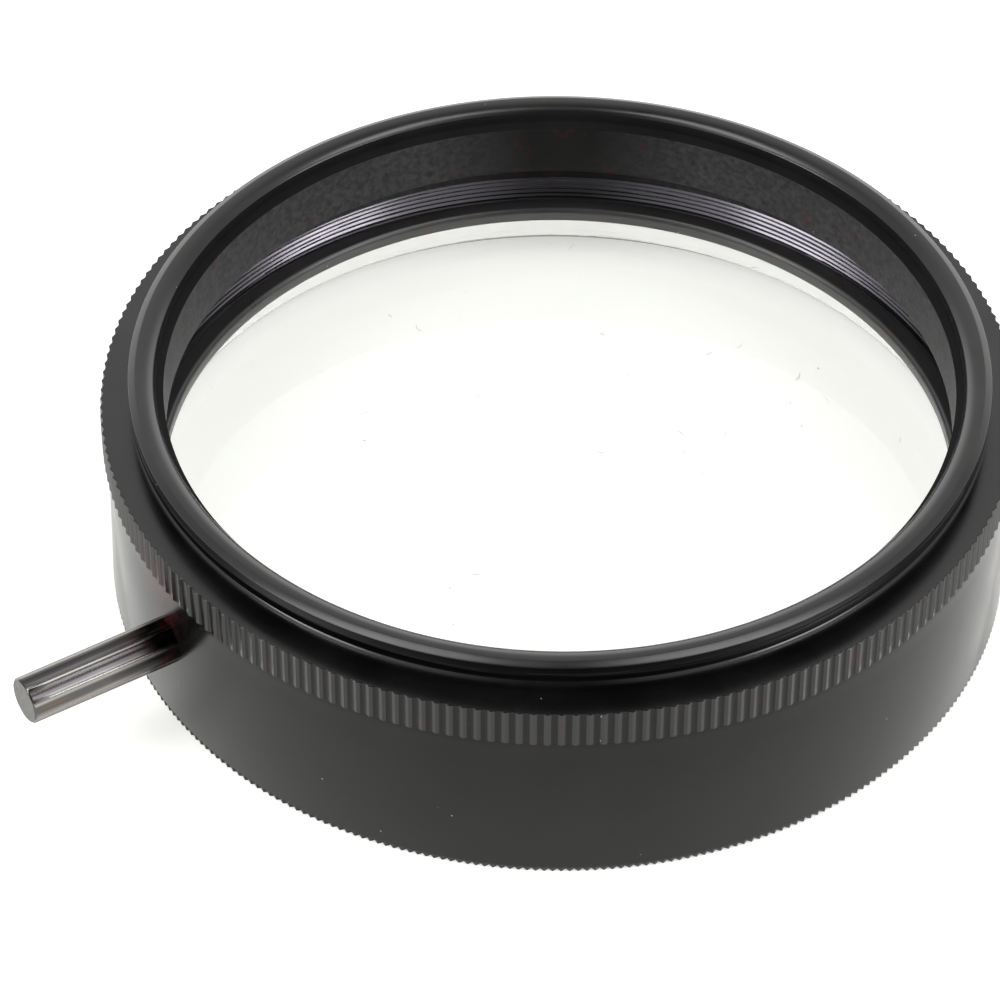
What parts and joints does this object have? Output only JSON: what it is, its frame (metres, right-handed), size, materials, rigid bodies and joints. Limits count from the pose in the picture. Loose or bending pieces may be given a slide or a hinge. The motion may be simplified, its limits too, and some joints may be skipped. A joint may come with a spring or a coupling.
{
  "type": "screw in lens filter",
  "caption": "Round lens filter with a male rear thread, a knurled flange and a toothed front rim; a side lever turns the glazed barrel on the rear ring.",
  "frame": {"origin": "on the axis, at the lower end of the rear thread", "axes": "+Z along the axis, out of the rear thread towards the lens; the filter stands on its front rim; the lever points towards -X and -Y"},
  "size_m": [0.0601, 0.056, 0.0154],
  "materials": {
    "flange_black": "black anodised, satin",
    "barrel_black": "black anodised, smooth satin",
    "inner_black": "black anodised, matt",
    "clear_glass": "polished faces, ground edge",
    "dark_steel": "dark polished steel with a warm tint"
  },
  "bodies": {
    "rear_ring": {"rear_ring": "flange_black", "collar": "inner_black"},
    "barrel": {"barrel": "barrel_black", "glass_disc": "clear_glass", "retaining_ring": "inner_black", "lever": "dark_steel"}
  },
  "joints": [
    {"name": "barrel_turn", "type": "hinge", "parent": "rear_ring", "child": "barrel", "pos_m": [0, 0, 0], "axis": [0, 0, 1], "continuous": true}
  ]
}
